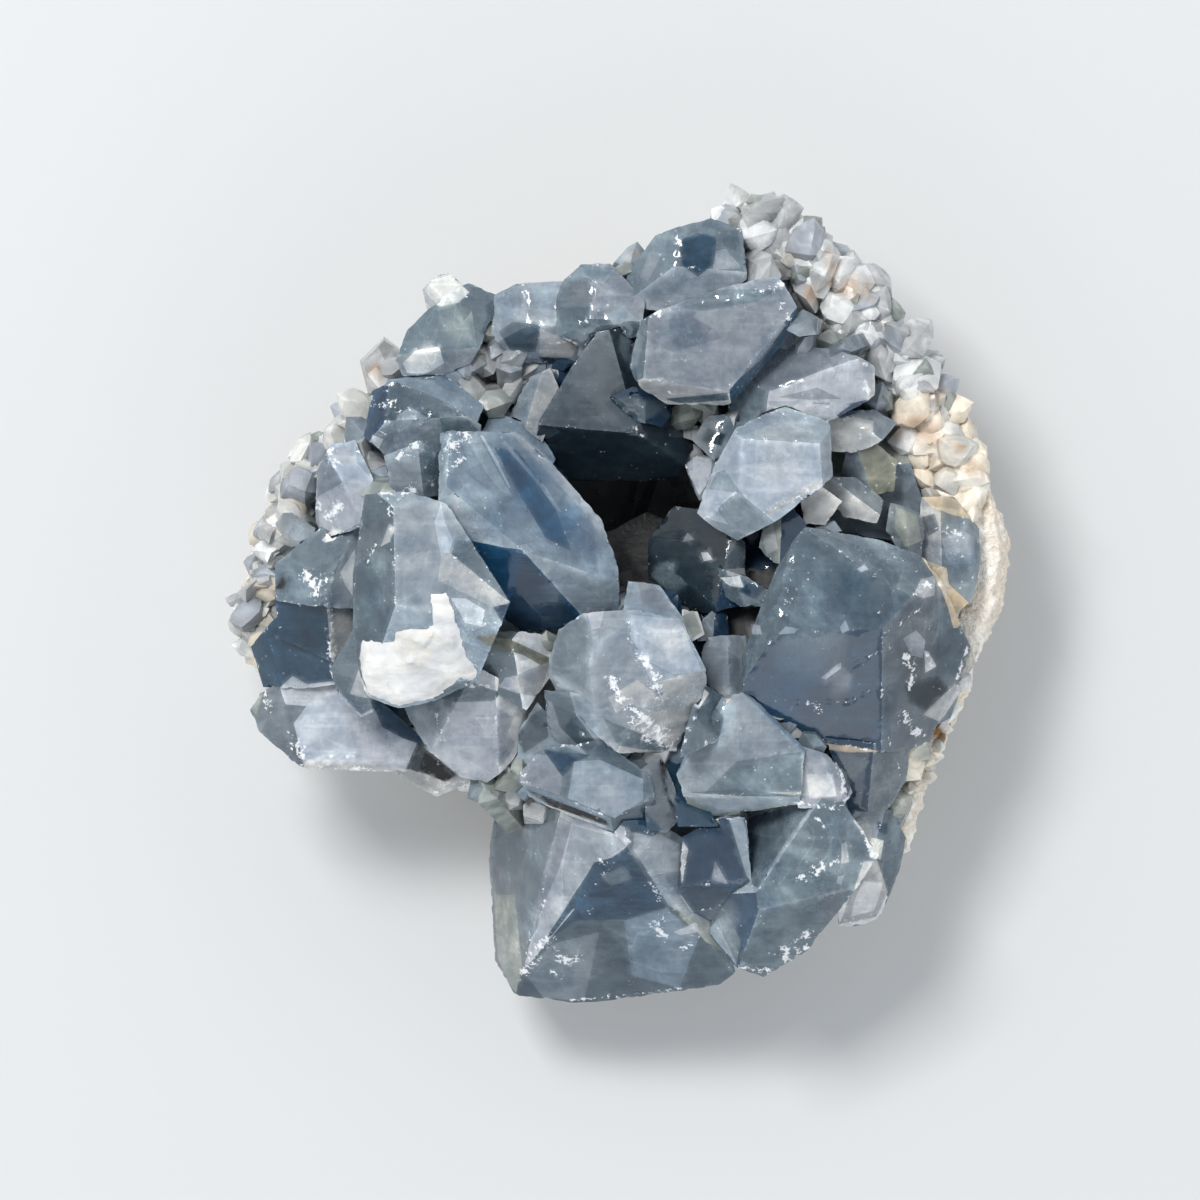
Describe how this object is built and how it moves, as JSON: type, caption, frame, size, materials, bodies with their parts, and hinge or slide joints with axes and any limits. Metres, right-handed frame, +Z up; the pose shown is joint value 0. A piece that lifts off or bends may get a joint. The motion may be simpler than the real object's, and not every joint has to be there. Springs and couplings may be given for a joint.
{
  "type": "celestite crystal cluster",
  "caption": "Broken piece of geode wall covered in blocky grey-blue crystals with sloping tips, lined with small grey-white crystals, on a shallow bowl of pale rock rind that it rests on.",
  "frame": {"origin": "centre of the bounding box in plan, on the surface that the piece lies on", "axes": "+Z up out of the crystals, +Y towards the back of the piece (the top of the picture), +X towards its right"},
  "size_m": [0.0978, 0.1016, 0.0614],
  "materials": {
    "matrix_rock": "dull, rough and grainy, with rusty stains",
    "druse": "glassy small crystals, partly see-through",
    "crystal_blue": "glassy, partly see-through, with milky veils",
    "crystal_dark": "glassy, partly see-through, deep slate blue",
    "crystal_grey": "glassy to frosted, grey with white bits",
    "crystal_smoky": "glassy, partly see-through, grey-lilac",
    "crystal_pale": "glassy, clear and bright pale blue"
  },
  "bodies": {
    "root": {"matrix": "matrix_rock", "druse_crust": "druse", "crystals_left_crown": "crystal_blue", "crystals_left_side": "crystal_dark", "crystals_grey_tips": "crystal_grey", "crystals_centre": "crystal_blue", "crystals_middle_steps": "crystal_blue", "crystal_front_large": "crystal_smoky", "crystals_front_right": "crystal_dark", "crystals_right_large": "crystal_dark", "crystals_hollow_side": "crystal_dark", "crystals_green_grey": "crystal_grey", "crystals_pale_bright": "crystal_pale", "crystals_upper_right": "crystal_smoky", "crystals_over_hollow": "crystal_dark", "crystals_back_row": "crystal_blue"}
  },
  "joints": []
}
